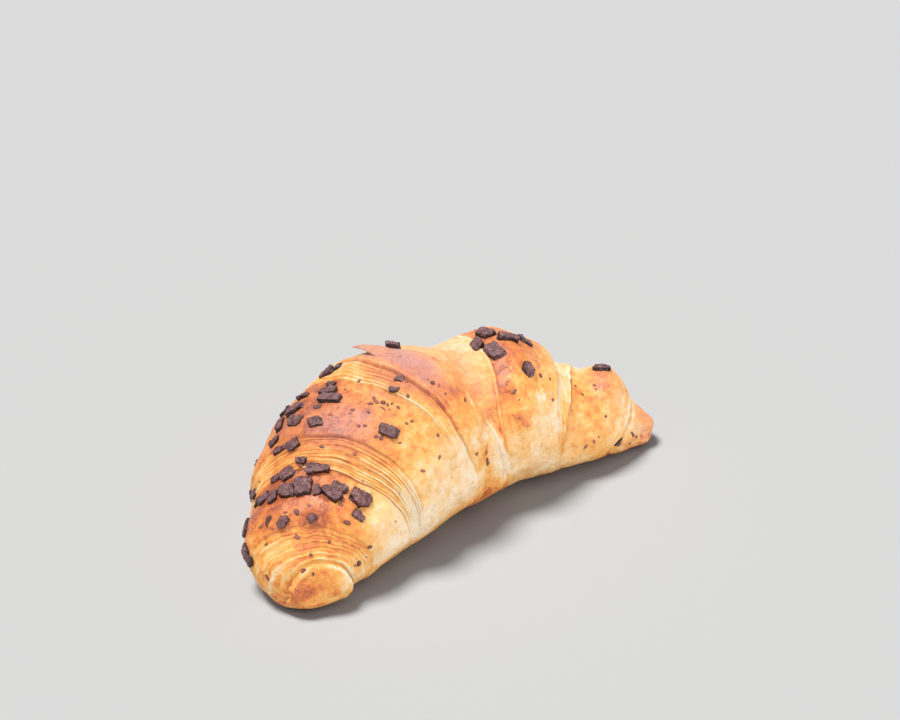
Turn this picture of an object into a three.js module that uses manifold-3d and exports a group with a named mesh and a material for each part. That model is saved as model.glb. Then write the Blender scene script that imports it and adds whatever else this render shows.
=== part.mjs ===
// A crescent croissant of rolled laminated dough with dark chocolate chunks baked onto its crust.
// Millimetres, +Z up. It rests on z = 0 with its tips along X, and its hollow side faces -Y.
// A place on the crust is given as (along, angle): along runs from about -1 at one tip to about +1 at the
// other, and angle goes round the roll in degrees, from 0 on the outer side, over 90 on top, to 180 inside.
import * as THREE from "three";
import { ConvexGeometry } from "three/addons/geometries/ConvexGeometry.js";
import { mergeVertices } from "three/addons/utils/BufferGeometryUtils.js";
import Module from "manifold-3d";

// Driving dimensions.
const ROLL_LENGTH = 183.6; // along the centreline, from -1 to +1
const BEND = [0.73, -0.06, 0.09]; // heading in radians = -(b1 s + b2 s^2 + b3 s^3)
const NEAR_END = -0.992; // where the roll begins
const FAR_END = 1.035; // where it ends
const TIP_CAP = 0.06; // share of the half length that rounds off each tip
const WIDEST = 0.42; // share of the height at which the roll is widest
const BASE_POWER = 2.6; // squareness of the lower half
const BASE_SINK = 1.06; // how far the lower half would reach below the tray, which flattens it
const EDGE_LEAN = 0.22; // how far the wraps' edges lean towards the middle on the hollow side
const RINGS = 100; // sections along the roll
const SIDES = 36; // points round each section
const CHUNK_GAP = 0.3; // clear gap between a chunk and the crust
const CHUNK_SINK = 0.45; // share of a chunk's height that is bedded in the crust

// The smooth roll: [along, half width, height].
const ENVELOPE = [
  [-1.0, 4, 12],
  [-0.86, 16.6, 24.9],
  [-0.62, 27.5, 39],
  [-0.32, 34.2, 52.5],
  [0, 34.2, 56],
  [0.32, 29.6, 50.5],
  [0.62, 24.6, 38.5],
  [0.86, 14.4, 23.9],
  [1.0, 7.4, 12],
];

// The crowns and valleys of the wraps: [along, how far the dough stands above the smooth roll].
const WRAPS = [
  [-1.0, 0],
  [-0.93, 0.8],
  [-0.89, -0.2],
  [-0.8, 2.4],
  [-0.64, -2.2],
  [-0.53, 1.6],
  [-0.42, 1.3],
  [-0.32, -0.5],
  [-0.21, 3.3],
  [0, 0],
  [0.15, -6],
  [0.25, -2.9],
  [0.42, 4],
  [0.51, 1.7],
  [0.62, -2.5],
  [0.72, -3.7],
  [0.85, 3.4],
  [0.93, 0.7],
  [1.0, 0],
];

// The chocolate chunks: [along, angle, length, width, height, turn in degrees from the roll's axis].
const CHUNKS = [
  // a dense row over the second wrap
  [-0.695, 32, 5, 4, 3, -60],
  [-0.712, 44, 7, 4, 3.2, -15],
  [-0.728, 57, 6.6, 3.4, 3.2, 15],
  [-0.722, 70, 7.4, 5.4, 3.8, 15],
  [-0.705, 84, 8.6, 7, 4.2, 25],
  [-0.712, 95, 4.6, 2.8, 3, 30],
  [-0.702, 106, 8, 5, 3.8, 64],
  [-0.664, 111, 6, 3.8, 3.4, 78],
  [-0.662, 129, 8, 5.8, 4, 85],
  [-0.637, 64, 6, 5, 3.4, -48],
  [-0.643, 52, 5.6, 2.8, 2.4, -76],
  [-0.603, 74, 4.4, 2.8, 2.8, -80],
  [-0.62, 89, 8, 4.4, 3.6, -82],
  // scattered between the row and the near tip
  [-0.815, 56, 4, 1.8, 2, -37],
  [-0.828, 71, 4.8, 3.6, 3, -47],
  [-0.815, 99, 3.6, 3, 2.8, -47],
  [-0.735, 134, 4.4, 3, 2.8, 83],
  // down the outer side of the near tip
  [-0.755, 14, 8, 4.4, 3.2, 13],
  [-0.835, 8, 9, 4.2, 3.2, -10],
  [-0.63, 16, 5, 4, 3, 40],
  // the third wrap
  [-0.562, 66, 6, 4, 3.2, -60],
  [-0.565, 54, 6, 2.6, 2.6, -85],
  [-0.495, 78, 6, 4, 3, -65],
  [-0.481, 61, 6.6, 4.8, 3, 80],
  [-0.412, 120, 7.4, 4, 3.4, -80],
  [-0.432, 73, 3.2, 2.2, 2, -70],
  [-0.39, 78, 9, 4.6, 3.6, -78],
  [-0.355, 70, 7, 4.6, 3.8, -70],
  [-0.305, 66, 4.4, 2.6, 2.6, -85],
  [-0.36, 52, 5, 3.6, 3, -70],
  [-0.42, 53, 9, 4.6, 3.4, -60],
  [-0.455, 42, 7, 4.4, 3.2, 17],
  [-0.4, 40, 5, 3.6, 3, -70],
  [-0.53, 46, 5, 3.4, 3, -55],
  // round the last flap
  [-0.205, 104, 3.4, 2.6, 2.4, -50],
  [-0.245, 106, 3.6, 2.4, 2.4, -60],
  [-0.245, 54, 6, 3.8, 3, -60],
  [-0.225, 60, 4, 3, 2.6, -60],
  [-0.05, 76, 5, 4.4, 3.4, -50],
  // the crown beyond the flap
  [0.34, 80, 8.4, 5, 3.8, -85],
  [0.4, 94, 8, 4.4, 3.4, -18],
  [0.485, 90, 7.4, 4, 3.2, 5],
  [0.28, 88, 6, 4.6, 3.4, 85],
  [0.312, 103, 8.6, 5.4, 3.8, -75],
  [0.416, 122, 6, 5, 3.4, 50],
  // the far wrap and the far tip
  [0.81, 80, 6.6, 4, 3, -15],
  [0.87, 184, 4.4, 2.2, 2.2, 48],
  [0.934, 170, 3.6, 1.8, 2.2, -32],
  // the outer side
  [-0.57, -4, 6, 5, 3.2, 40],
  [-0.44, -12, 7, 5, 3.4, 30],
  [-0.49, 4, 6, 4.4, 3, 80],
  [-0.13, 17, 6.4, 4.8, 3.2, 10],
  [0.02, 24, 5.6, 4.4, 3, 50],
  [0.28, 22, 6.8, 5, 3.4, 70],
  [0.42, 26, 7.2, 4.8, 3.2, 20],
  [0.37, 4, 6, 4.6, 3, 60],
  [0.7, 14, 5.8, 4.6, 3, 30],
  [0.88, 24, 5, 4, 2.8, 50],
];

const CRUST_COLOUR = 0xc98443;
const CHOCOLATE_COLOUR = 0x3b2326;

const wasm = await Module();
wasm.setup();

// Monotone cubic through [place, value] rows: it turns level at each crown and valley.
function curveThrough(rows, column) {
  const x = rows.map((row) => row[0]);
  const y = rows.map((row) => row[column]);
  const step = x.slice(1).map((value, i) => value - x[i]);
  const grade = step.map((width, i) => (y[i + 1] - y[i]) / width);
  const slope = y.map((_, i) => {
    if (i === 0) return grade[0];
    if (i === y.length - 1) return grade[i - 1];
    if (grade[i - 1] * grade[i] <= 0) return 0;
    const before = 2 * step[i] + step[i - 1];
    const after = step[i] + 2 * step[i - 1];
    return (before + after) / (before / grade[i - 1] + after / grade[i]);
  });
  return (place) => {
    let i = 0;
    while (i < step.length - 1 && place > x[i + 1]) i += 1;
    const t = THREE.MathUtils.clamp((place - x[i]) / step[i], 0, 1);
    const u = 1 - t;
    const ends = y[i] * (1 + 2 * t) * u * u + y[i + 1] * (3 - 2 * t) * t * t;
    return ends + step[i] * (slope[i] * t * u * u - slope[i + 1] * t * t * u);
  };
}

const halfWidthAt = curveThrough(ENVELOPE, 1);
const heightAt = curveThrough(ENVELOPE, 2);
const riseAt = curveThrough(WRAPS, 1);

// The centreline's points in plan, worked out by stepping along its heading from the middle.
function headingAt(along) {
  return -(BEND[0] * along + BEND[1] * along ** 2 + BEND[2] * along ** 3);
}

function centreAt(along) {
  const steps = 200;
  const length = (along * ROLL_LENGTH) / 2;
  const point = new THREE.Vector2();
  for (let i = 0; i < steps; i += 1) {
    const heading = headingAt((along * (i + 0.5)) / steps);
    point.x += (Math.cos(heading) * length) / steps;
    point.y += (Math.sin(heading) * length) / steps;
  }
  return point;
}

// The wraps' edges lean towards the middle on the hollow side: the place that a point takes its rise from.
function wrapPlace(along, angle) {
  const inside = THREE.MathUtils.clamp((angle - 1.2) / 2.2, 0, 1.15);
  const reach = Math.abs(along);
  return along * (1 + ((EDGE_LEAN * inside ** 2) / (reach + 0.2)) * (1 - reach ** 4));
}

function signedPower(value, power) {
  return Math.sign(value) * Math.abs(value) ** power;
}

// One section of the roll: its points round the centreline, grown outwards by a skin thickness.
function section(along, sides, skin) {
  const centre = centreAt(along);
  const heading = headingAt(along);
  const toTip = Math.min(along - NEAR_END, FAR_END - along);
  const end = THREE.MathUtils.clamp(toTip / TIP_CAP, 0, 1);
  const round = Math.sqrt(1 - (1 - end) ** 2);
  const points = [];
  for (let j = 0; j < sides; j += 1) {
    const angle = -Math.PI / 2 + (2 * Math.PI * j) / sides;
    const up = Math.sin(angle);
    const out = Math.cos(angle);
    const share = up > 0 ? 0.35 + 0.65 * up : 0.35 * (1 + up) ** 2;
    const rise = riseAt(wrapPlace(along, angle)) * share + skin;
    const belt = WIDEST * heightAt(along);
    const width = halfWidthAt(along) + rise;
    const top = heightAt(along) + rise - belt;
    const low = 2 / BASE_POWER;
    const across = (up >= 0 ? width * out : width * signedPower(out, low)) * round;
    const above = up >= 0 ? top * up : (belt + skin) * BASE_SINK * signedPower(up, low);
    const x = centre.x - Math.sin(heading) * across;
    const y = centre.y + Math.cos(heading) * across;
    points.push(new THREE.Vector3(x, y, Math.max(belt + above * round, -skin)));
  }
  return points;
}

// The roll as one closed skin: rings of points joined by triangles, with a point at each tip.
function rollGeometry(skin) {
  const positions = [];
  const index = [];
  for (let i = 1; i < RINGS; i += 1) {
    const place = -Math.cos((Math.PI * i) / RINGS) * 0.35 + ((2 * i) / RINGS - 1) * 0.65;
    const along = (NEAR_END + FAR_END + (FAR_END - NEAR_END) * place) / 2;
    section(along, SIDES, skin).forEach((point) => positions.push(...point));
  }
  const lastRing = RINGS - 2;
  const tips = [NEAR_END, FAR_END].map((along) => {
    const tip = centreAt(along + (Math.sign(along) * 2 * skin) / ROLL_LENGTH);
    positions.push(tip.x, tip.y, WIDEST * heightAt(along));
    return positions.length / 3 - 1;
  });
  for (let j = 0; j < SIDES; j += 1) {
    const next = (j + 1) % SIDES;
    index.push(tips[0], next, j);
    index.push(tips[1], lastRing * SIDES + j, lastRing * SIDES + next);
    for (let i = 0; i < lastRing; i += 1) {
      const near = i * SIDES;
      const far = near + SIDES;
      index.push(near + j, near + next, far + j, near + next, far + next, far + j);
    }
  }
  const geometry = new THREE.BufferGeometry();
  geometry.setAttribute("position", new THREE.Float32BufferAttribute(positions, 3));
  geometry.setIndex(index);
  return geometry;
}

// A place on the crust with its outward normal and the direction along the roll.
function crustFrame(along, degrees) {
  const angle = THREE.MathUtils.degToRad(degrees);
  const at = (a, b) => {
    const sides = 3600;
    const j = Math.round(((b + Math.PI / 2) / (2 * Math.PI)) * sides);
    return section(a, sides, 0)[(j + sides) % sides];
  };
  const point = at(along, angle);
  const forward = at(along + 0.01, angle).sub(at(along - 0.01, angle)).normalize();
  const round = at(along, angle + 0.05).sub(at(along, angle - 0.05));
  const normal = new THREE.Vector3().crossVectors(round, forward).normalize();
  return { point, forward, normal };
}

// Repeatable scatter between -1 and 1.
function scatter(seed) {
  const value = Math.sin(seed * 127.1 + 11.7) * 43758.5453;
  return 2 * (value - Math.floor(value)) - 1;
}

// A broken block of chocolate: the hull of a box whose corners are each worn back a little differently.
function chunkGeometry(length, width, height, seed) {
  const corners = [];
  for (const x of [-1, 1]) {
    for (const y of [-1, 1]) {
      for (const z of [-1, 1]) {
        const wear = seed * 31 + corners.length * 5;
        const corner = new THREE.Vector3(
          (x * length * (0.86 + 0.14 * scatter(wear))) / 2,
          (y * width * (0.86 + 0.14 * scatter(wear + 1))) / 2,
          (z * height * (0.88 + 0.12 * scatter(wear + 2))) / 2,
        );
        const inset = 0.22 * Math.min(length, width);
        corners.push(corner.clone().sub(new THREE.Vector3(x * inset, 0, 0)));
        corners.push(corner.clone().sub(new THREE.Vector3(0, y * inset, 0)));
        corners.push(corner.sub(new THREE.Vector3(0, 0, z * inset * 0.7)));
      }
    }
  }
  return new ConvexGeometry(corners);
}

function toSolid(geometry) {
  const bare = geometry.clone();
  bare.deleteAttribute("normal");
  bare.deleteAttribute("uv");
  const merged = mergeVertices(bare, 1e-4);
  return new wasm.Manifold(
    new wasm.Mesh({
      numProp: 3,
      vertProperties: merged.attributes.position.array,
      triVerts: new Uint32Array(merged.index.array),
    }),
  );
}

function toGeometry(solid) {
  const mesh = solid.getMesh();
  const geometry = new THREE.BufferGeometry();
  geometry.setAttribute("position", new THREE.BufferAttribute(mesh.vertProperties, 3));
  geometry.setIndex(new THREE.BufferAttribute(mesh.triVerts, 1));
  return geometry;
}

const crustMaterial = new THREE.MeshStandardMaterial({ color: CRUST_COLOUR, roughness: 0.5 });
const chocolateMaterial = new THREE.MeshStandardMaterial({ color: CHOCOLATE_COLOUR, roughness: 0.4 });

function croissantMesh() {
  const mesh = new THREE.Mesh(rollGeometry(0), crustMaterial);
  mesh.name = "croissant";
  return mesh;
}

// Where a chunk sits: on the crust, a little bedded in it, and turned about the crust's normal.
function chunkPlace(along, angle, height, turn) {
  const { point, forward, normal } = crustFrame(along, angle);
  const side = new THREE.Vector3().crossVectors(normal, forward);
  const place = new THREE.Matrix4().makeBasis(forward, side, normal);
  place.setPosition(point.addScaledVector(normal, height * (0.5 - CHUNK_SINK)));
  return place.multiply(new THREE.Matrix4().makeRotationZ(THREE.MathUtils.degToRad(turn)));
}

// All chunks in turn: each is cut clear of the crust below it and of the chunks before it.
function chunkMeshes() {
  let taken = toSolid(rollGeometry(CHUNK_GAP));
  return CHUNKS.map(([along, angle, length, width, height, turn], i) => {
    const place = chunkPlace(along, angle, height, turn);
    const block = toSolid(chunkGeometry(length, width, height, i).applyMatrix4(place));
    const mesh = new THREE.Mesh(toGeometry(block.subtract(taken)), chocolateMaterial);
    mesh.name = `chocolate_chunk_${String(i + 1).padStart(2, "0")}`;
    const room = 2 * CHUNK_GAP;
    const grown = chunkGeometry(length + room, width + room, height + room, i).applyMatrix4(place);
    taken = taken.add(toSolid(grown));
    return mesh;
  });
}

const model = new THREE.Group();
model.add(croissantMesh(), ...chunkMeshes());

// The origin is the middle of the footprint, on the tray.
const footprint = new THREE.Box3().setFromObject(model).getCenter(new THREE.Vector3());
model.position.set(-footprint.x, -footprint.y, 0);

export default model;
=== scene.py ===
"""A crescent croissant with dark chocolate chunks, on a plain pale floor under soft studio light.

A place on the crust is (along, angle), as in the CAD model: along runs from -1 at the near tip to +1 at the
far tip, and angle goes round the roll in degrees, from 0 on the outer side, over 90 on top, to 180 inside
and 270 underneath. Lengths are in millimetres until a mesh is made, which is in metres.
"""

import math

import bmesh
import bpy
import numpy as np
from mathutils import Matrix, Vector


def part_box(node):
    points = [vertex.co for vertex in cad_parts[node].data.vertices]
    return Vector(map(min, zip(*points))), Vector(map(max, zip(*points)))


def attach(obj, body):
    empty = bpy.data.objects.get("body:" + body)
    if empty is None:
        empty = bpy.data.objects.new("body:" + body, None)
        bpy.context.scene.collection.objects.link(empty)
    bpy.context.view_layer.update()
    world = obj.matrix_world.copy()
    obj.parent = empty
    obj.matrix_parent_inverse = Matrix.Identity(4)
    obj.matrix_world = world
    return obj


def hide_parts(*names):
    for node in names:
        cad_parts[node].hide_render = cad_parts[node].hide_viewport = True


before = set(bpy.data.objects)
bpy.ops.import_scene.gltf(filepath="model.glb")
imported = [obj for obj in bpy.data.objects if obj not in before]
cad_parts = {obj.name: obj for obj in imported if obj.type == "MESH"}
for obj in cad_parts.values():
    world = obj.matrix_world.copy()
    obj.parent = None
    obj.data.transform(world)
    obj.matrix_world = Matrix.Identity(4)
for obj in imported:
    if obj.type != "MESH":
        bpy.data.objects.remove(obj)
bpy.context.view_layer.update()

MM = 0.001

# ---- the roll's plain form, as in the CAD model

ROLL_LENGTH = 183.6  # along the centreline, from -1 to +1
BEND = (0.73, -0.06, 0.09)  # heading in radians = -(b1 s + b2 s^2 + b3 s^3)
CENTRE_STEP = 0.0005  # step along the centreline when its heading is added up
NEAR_END = -0.992  # where the roll begins
FAR_END = 1.035  # where it ends
TIP_CAP = 0.06  # share of the half length that rounds off each tip
WIDEST = 0.42  # share of the height at which the roll is widest
BASE_POWER = 2.6  # squareness of the lower half
BASE_SINK = 1.06  # how far the lower half would reach below the floor, which flattens it
EDGE_LEAN = 0.22  # how far the wraps' edges lean towards the middle on the hollow side
LEAN_START, LEAN_SPAN, LEAN_LIMIT = 1.2, 2.2, 1.15  # the angle where that begins, its reach and its most
SIDE_RISE = 0.35  # share of a wrap's rise that is left at the roll's widest

# [along, half width, height]
ENVELOPE = np.array(
    [
        *((-1.0, 4, 12), (-0.86, 16.6, 24.9), (-0.62, 27.5, 39), (-0.32, 34.2, 52.5), (0, 34.2, 56)),
        *((0.32, 29.6, 50.5), (0.62, 24.6, 38.5), (0.86, 14.4, 23.9), (1.0, 7.4, 12)),
    ]
)

# [along, how far the dough stands above the smooth roll]
WRAPS = np.array(
    [
        *((-1.0, 0), (-0.93, 0.8), (-0.89, -0.2), (-0.8, 2.4), (-0.64, -2.2), (-0.53, 1.6), (-0.42, 1.3)),
        *((-0.32, -0.5), (-0.21, 3.3), (0, 0), (0.15, -6), (0.25, -2.9), (0.42, 4), (0.51, 1.7)),
        *((0.62, -2.5), (0.72, -3.7), (0.85, 3.4), (0.93, 0.7), (1.0, 0)),
    ]
)


def curve_through(rows, column, place):
    """Monotone cubic through the rows' values: it turns level at each crown and valley."""
    x, y = rows[:, 0], rows[:, column]
    width = np.diff(x)
    grade = np.diff(y) / width
    slope = np.concatenate([grade[:1], np.zeros(len(x) - 2), grade[-1:]])
    for i in range(1, len(x) - 1):
        if grade[i - 1] * grade[i] > 0:
            before = 2 * width[i] + width[i - 1]
            after = width[i] + 2 * width[i - 1]
            slope[i] = (before + after) / (before / grade[i - 1] + after / grade[i])
    i = np.clip(np.searchsorted(x, place) - 1, 0, len(width) - 1)
    t = np.clip((place - x[i]) / width[i], 0, 1)
    u = 1 - t
    ends = y[i] * (1 + 2 * t) * u * u + y[i + 1] * (3 - 2 * t) * t * t
    return ends + width[i] * (slope[i] * t * u * u - slope[i + 1] * t * t * u)


def heading_at(along):
    return -(BEND[0] * along + BEND[1] * along**2 + BEND[2] * along**3)


def centre_at(along):
    """The centreline's x and y, by adding up its heading from the middle."""
    s = np.arange(-1.05, 1.05, CENTRE_STEP)
    turn = heading_at(s + CENTRE_STEP / 2)
    paths = (np.concatenate([[0], np.cumsum(part(turn))[:-1]]) for part in (np.cos, np.sin))
    paths = [path * ROLL_LENGTH / 2 * CENTRE_STEP for path in paths]
    return [np.interp(along, s, path) - np.interp(0, s, path) for path in paths]


def plain_roll(along, degrees):
    """Points of the plain form, for arrays of places."""
    turn = (degrees + 90) % 360 - 90
    angle = np.radians(turn)
    up, out = np.sin(angle), np.cos(angle)
    inside = np.clip((angle - LEAN_START) / LEAN_SPAN, 0, LEAN_LIMIT)
    place = along * (1 + EDGE_LEAN * inside**2 / (np.abs(along) + 0.2) * (1 - along**4))
    share = np.where(up > 0, SIDE_RISE + (1 - SIDE_RISE) * up, SIDE_RISE * (1 + up) ** 2)
    rise = curve_through(WRAPS, 1, place) * share
    height = curve_through(ENVELOPE, 2, along)
    belt = WIDEST * height
    width = curve_through(ENVELOPE, 1, along) + rise
    end = np.clip(np.minimum(along - NEAR_END, FAR_END - along) / TIP_CAP, 0, 1)
    rounding = np.sqrt(1 - (1 - end) ** 2)
    squared = np.sign(out) * np.abs(out) ** (2 / BASE_POWER)
    across = width * np.where(up >= 0, out, squared) * rounding
    below = belt * BASE_SINK * np.sign(up) * np.abs(up) ** (2 / BASE_POWER)
    z = belt + np.where(up >= 0, (height + rise - belt) * up, below) * rounding
    x, y = centre_at(along)
    heading = heading_at(along)
    points = [x - np.sin(heading) * across, y + np.cos(heading) * across, np.maximum(z, 0)]
    return np.stack(points, -1)


# ---- where the wraps' edges run

# Each row says where along the roll, in thousandths, an edge crosses these angles.
KNOTS = np.array([0, 60, 90, 120, 150, 180, 200, 270])
EDGES = np.array(
    [
        (1000 * NEAR_END,) * 8,  # the near tip
        (-985, -972, -955, -927, -893, -865, -855, -930),  # the rolled nub's rim
        (-855, -850, -843, -827, -795, -755, -735, -790),  # the end of the fine rings
        (-690, -640, -622, -612, -575, -534, -500, -570),  # foot of the second cut face
        (-580, -563, -532, -500, -478, -465, -450, -500),  # brow of the second cut face
        (-280, -285, -285, -243, -190, -150, -120, -200),  # foot of the third cut face
        (-160, -180, -217, -155, -128, -40, 0, -120),  # the flap's near edge
        (-100, -110, -35, 35, 115, 165, 190, 50),  # the flap's far edge
        (300, 295, 288, 268, 200, 190, 210, 240),  # the pale sheet's edge
        (600, 605, 605, 585, 525, 512, 515, 550),  # the far crown's edge
        (730, 712, 685, 650, 598, 545, 535, 620),  # the far valley's edge
        (900, 920, 932, 932, 914, 862, 800, 840),  # the far tip's edge
        (1000 * FAR_END,) * 8,  # the far tip
    ]
)
# The rows' numbers, for the edges that are used again.
RIM, RINGS_END, BROW_2, FLAP_NEAR, FLAP_FAR = 1, 2, 4, 6, 7
PALE_EDGE, CROWN_EDGE, VALLEY_EDGE, TIP_EDGE = 8, 9, 10, 11
# The bands between two edges that show cut layers, by the number of their first edge.
NUB, RINGS, FACE_2, FACE_3, VALLEY_FACE = 0, 1, 3, 5, 9

KNOT_EASING = (-12, -6, 0, 6, 12)  # degrees over which a value is eased between the knots
EDGE_RIPPLE = (0.005, 0.55)  # how far the edges waver, and the size of the waves
NUB_PUSH = 1.1  # how far the near tip's nub stands towards the hollow side

# Rings of points in each band between two edges: close together where the cut layers show.
BAND_RINGS = (26, 62, 36, 80, 38, 58, 34, 32, 38, 30, 34, 34)
RING_SPACING = (0.55, 0.45)  # shares of even spacing and of spacing that crowds at the edges
# Points round the roll: [from, to, count].
ARCS = ((-30, 205, 158), (205, 330, 22))

# These make a lattice point's number look random.
LATTICE_PRIMES = (73856093, 19349663, 83492791)
LATTICE_MIX = 1274126177
SEED_STEP = 17.31


def lumps(points, size, seed):
    """Smooth random values between -1 and 1, in lumps of about the given size. Points end in x, y and z."""
    p = points / size + SEED_STEP * seed
    cell = np.floor(p).astype(np.int64)
    t = p - cell
    t = t**3 * (t * (t * 6 - 15) + 10)
    total = 0
    for corner in np.ndindex(2, 2, 2):
        c = cell + np.array(corner)
        x, y, z = (c[..., i] * prime for i, prime in enumerate(LATTICE_PRIMES))
        h = x ^ y ^ z
        h = ((h ^ (h >> 13)) * LATTICE_MIX) & 0x7FFFFFFF
        value = ((h ^ (h >> 15)) & 0xFFFF) / 32767.5 - 1
        total = total + value * np.prod(np.where(corner, t, 1 - t), -1)
    return total


def lumpiness(rows, points):
    """Layers of lumps added up: [height, size, seed]."""
    return sum(height * lumps(points, size, seed) for height, size, seed in rows)


def smooth(value, low, high):
    """0 below low, 1 above high, and eased between them."""
    t = np.clip((value - low) / (high - low), 0, 1)
    return t * t * (3 - 2 * t)


def bell(value, middle, width):
    """1 at the middle, falling off to both sides."""
    return np.exp(-(((value - middle) / width) ** 2))


def ring_places(degrees, radius, third):
    """Places on a ring, so that random values meet again once round the roll."""
    angle = np.radians(degrees)
    return np.stack([radius * np.cos(angle), radius * np.sin(angle), third + 0 * angle], -1)


def drawn_places(along, degrees, radius):
    """Places along the roll and round a thin ring, so that random values are drawn out round the roll."""
    angle = np.radians(degrees)
    return np.stack([along * ROLL_LENGTH / 2, radius * np.cos(angle), radius * np.sin(angle)], -1)


def round_roll(row, degrees):
    """A row's values round the roll, eased between its knots."""
    eased = (np.interp(degrees + shift, KNOTS, row, period=360) for shift in KNOT_EASING)
    return sum(eased) / len(KNOT_EASING)


def crust_grid():
    """The crust's grid as arrays of along, angle, band and share of the band, and the bands' edges."""
    arcs = [np.linspace(start, end, count, endpoint=False) for start, end, count in ARCS]
    degrees = np.concatenate(arcs)
    edges = np.array([round_roll(row, degrees) for row in EDGES / 1000])
    amount, size = EDGE_RIPPLE
    for k in range(1, len(edges) - 1):
        edges[k] += amount * lumps(ring_places(degrees, 3, k), size, k)
    even, crowded = RING_SPACING
    t = np.concatenate([(np.arange(count) + 0.5) / count for count in BAND_RINGS])[:, None]
    share = even * t + crowded * (0.5 - 0.5 * np.cos(np.pi * t))
    band = np.repeat(np.arange(len(BAND_RINGS)), BAND_RINGS)
    along = edges[band] * (1 - share) + edges[band + 1] * share
    band = band[:, None]
    return along, *(np.broadcast_to(values, along.shape) for values in (degrees, band, share)), edges


def grid_normals(points):
    forward = np.gradient(points, axis=0)
    sideways = np.roll(points, -1, 1) - np.roll(points, 1, 1)
    normal = np.cross(sideways, forward)
    return normal / np.maximum(np.linalg.norm(normal, axis=-1, keepdims=True), 1e-9)


# ---- relief of the crust

# Lumps all over the crust: [height, size, seed].
CRUST_LUMPS = ((0.5, 13, 1), (0.32, 6, 2), (0.14, 2.6, 3))
HOLLOW_LUMPS = ((0.45, 8, 5),)  # more of them on the hollow side

# Each sheet edge: the edge, which side of it the upper sheet lies on (+1 is towards the far tip), how far it
# reaches back, and how high it stands at the knots' angles.
STEPS = (
    (RIM, -1, 7, (0.4, 0.6, 0.5, 0.6, 1.2, 2.1, 2.2, 1.0)),
    (RINGS_END, 1, 7, (0.4, 0.5, 0.4, 0.4, 0.5, 0.4, 0.3, 0)),
    (BROW_2, 1, 9, (0.9, 1.0, 1.1, 1.0, 0.7, 0.4, 0.2, 0)),
    (FLAP_NEAR, 1, 12, (0, 0.5, 1.3, 1.4, 1.2, 0.2, 0, 0)),
    (FLAP_FAR, -1, 9, (0, 0.4, 1.4, 1.5, 1.1, 0.7, 0.3, 0)),
    (PALE_EDGE, -1, 3, (0.4, 0.5, 0.55, 0.55, 0.6, 0.7, 0.5, 0)),
    (CROWN_EDGE, -1, 6, (0.8, 0.9, 1.0, 0.9, 0.8, 0.8, 0.5, 0)),
    (VALLEY_EDGE, -1, 3, (0.6, 0.7, 0.8, 0.9, 1.0, 1.1, 0.6, 0)),
    (TIP_EDGE, -1, 4, (0.5, 0.6, 0.6, 0.7, 0.9, 1.1, 0.8, 0)),
)

# Grooves at the foot of a cut face or round the nub: the edge, its width, and its depth at the knots' angles.
GROOVES = (
    (RIM, 0.8, (0.5, 0.5, 0.35, 0.4, 0.6, 1.0, 1.0, 0)),
    (FLAP_NEAR, 0.7, (0, 0.3, 0.5, 0.5, 0.4, 0, 0, 0)),
    (FLAP_FAR, 1.0, (0, 0.3, 0.6, 0.6, 0.3, 0, 0, 0)),
    (TIP_EDGE, 1.2, (0.3, 0.5, 0.6, 0.8, 0.9, 0.9, 0.6, 0)),
)

# Cut faces, where the layers show as fine lines: the band, layers across it, and how strongly they show at
# the knots' angles.
CUT_FACES = (
    (NUB, 4, (0.06, 0.08, 0.1, 0.12, 0.12, 0.08, 0.04, 0)),
    (RINGS, 14, (0.16, 0.2, 0.24, 0.25, 0.24, 0.2, 0.12, 0)),
    (FACE_2, 10, (0.2, 0.26, 0.28, 0.3, 0.28, 0.12, 0.06, 0)),
    (FACE_3, 6, (0.08, 0.1, 0.12, 0.14, 0.06, 0, 0, 0)),
    (VALLEY_FACE, 4, (0.12, 0.14, 0.18, 0.2, 0.22, 0.2, 0.14, 0)),
)

# Sheets that stand out from a cut face, by its band: the share of the way across it, the height of the
# sheet's edge, how pale the edge is (paler dough with a painted highlight) and how strong the painted shade
# on the dough below it is.
SHEETS = {
    RINGS: (
        (0.1, 0.16, 0.12, 0.08), (0.3, 0.24, 0.3, 0.06), (0.42, 0.12, 0.08, 0.14),
        (0.55, 0.18, 0.24, 0.08), (0.68, 0.12, 0.12, 0.14), (0.8, 0.14, 0.14, 0.16),
        (0.92, 0.16, 0.06, 0.2),
    ),
    FACE_2: (
        (0.05, 0.45, 0.5, 0.18), (0.29, 0.5, 0.5, 0.22), (0.42, 0.16, 0.2, 0.1), (0.55, 0.24, 0.24, 0.14),
        (0.67, 0.2, 0.12, 0.22), (0.77, 0.26, 0.14, 0.3), (0.86, 0.2, 0.1, 0.3), (0.94, 0.26, 0.06, 0.32),
    ),
    FACE_3: (
        (0.06, 0.26, 0.3, 0.2), (0.19, 0.34, 0.3, 0.1), (0.36, 0.2, 0.2, 0.12), (0.5, 0.26, 0.22, 0.16),
        (0.66, 0.24, 0.12, 0.32), (0.82, 0.3, 0.1, 0.4),
    ),
    VALLEY_FACE: ((0.62, 0.3, 0.1, 0.3),),
}

# How the fine layers and the sheets wander round the roll: [share, size, seed to add].
LAYER_WANDER = ((0.8, 2.4, 0), (0.2, 0.8, 1))
SHEET_WANDER = ((0.03, 2.2, 40), (0.008, 0.6, 41))
SHEET_FADE_SEED = 60
LAYER_RELIEF = 1.6  # height of the fine layers where they show fully


def distance_from(edge, along, side):
    """Millimetres from an edge, positive on the given side of it."""
    return (along - edge) * side * ROLL_LENGTH / 2


def wander(rows, places, seed):
    return sum(share * lumps(places, size, seed + extra) for share, size, extra in rows)


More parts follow.
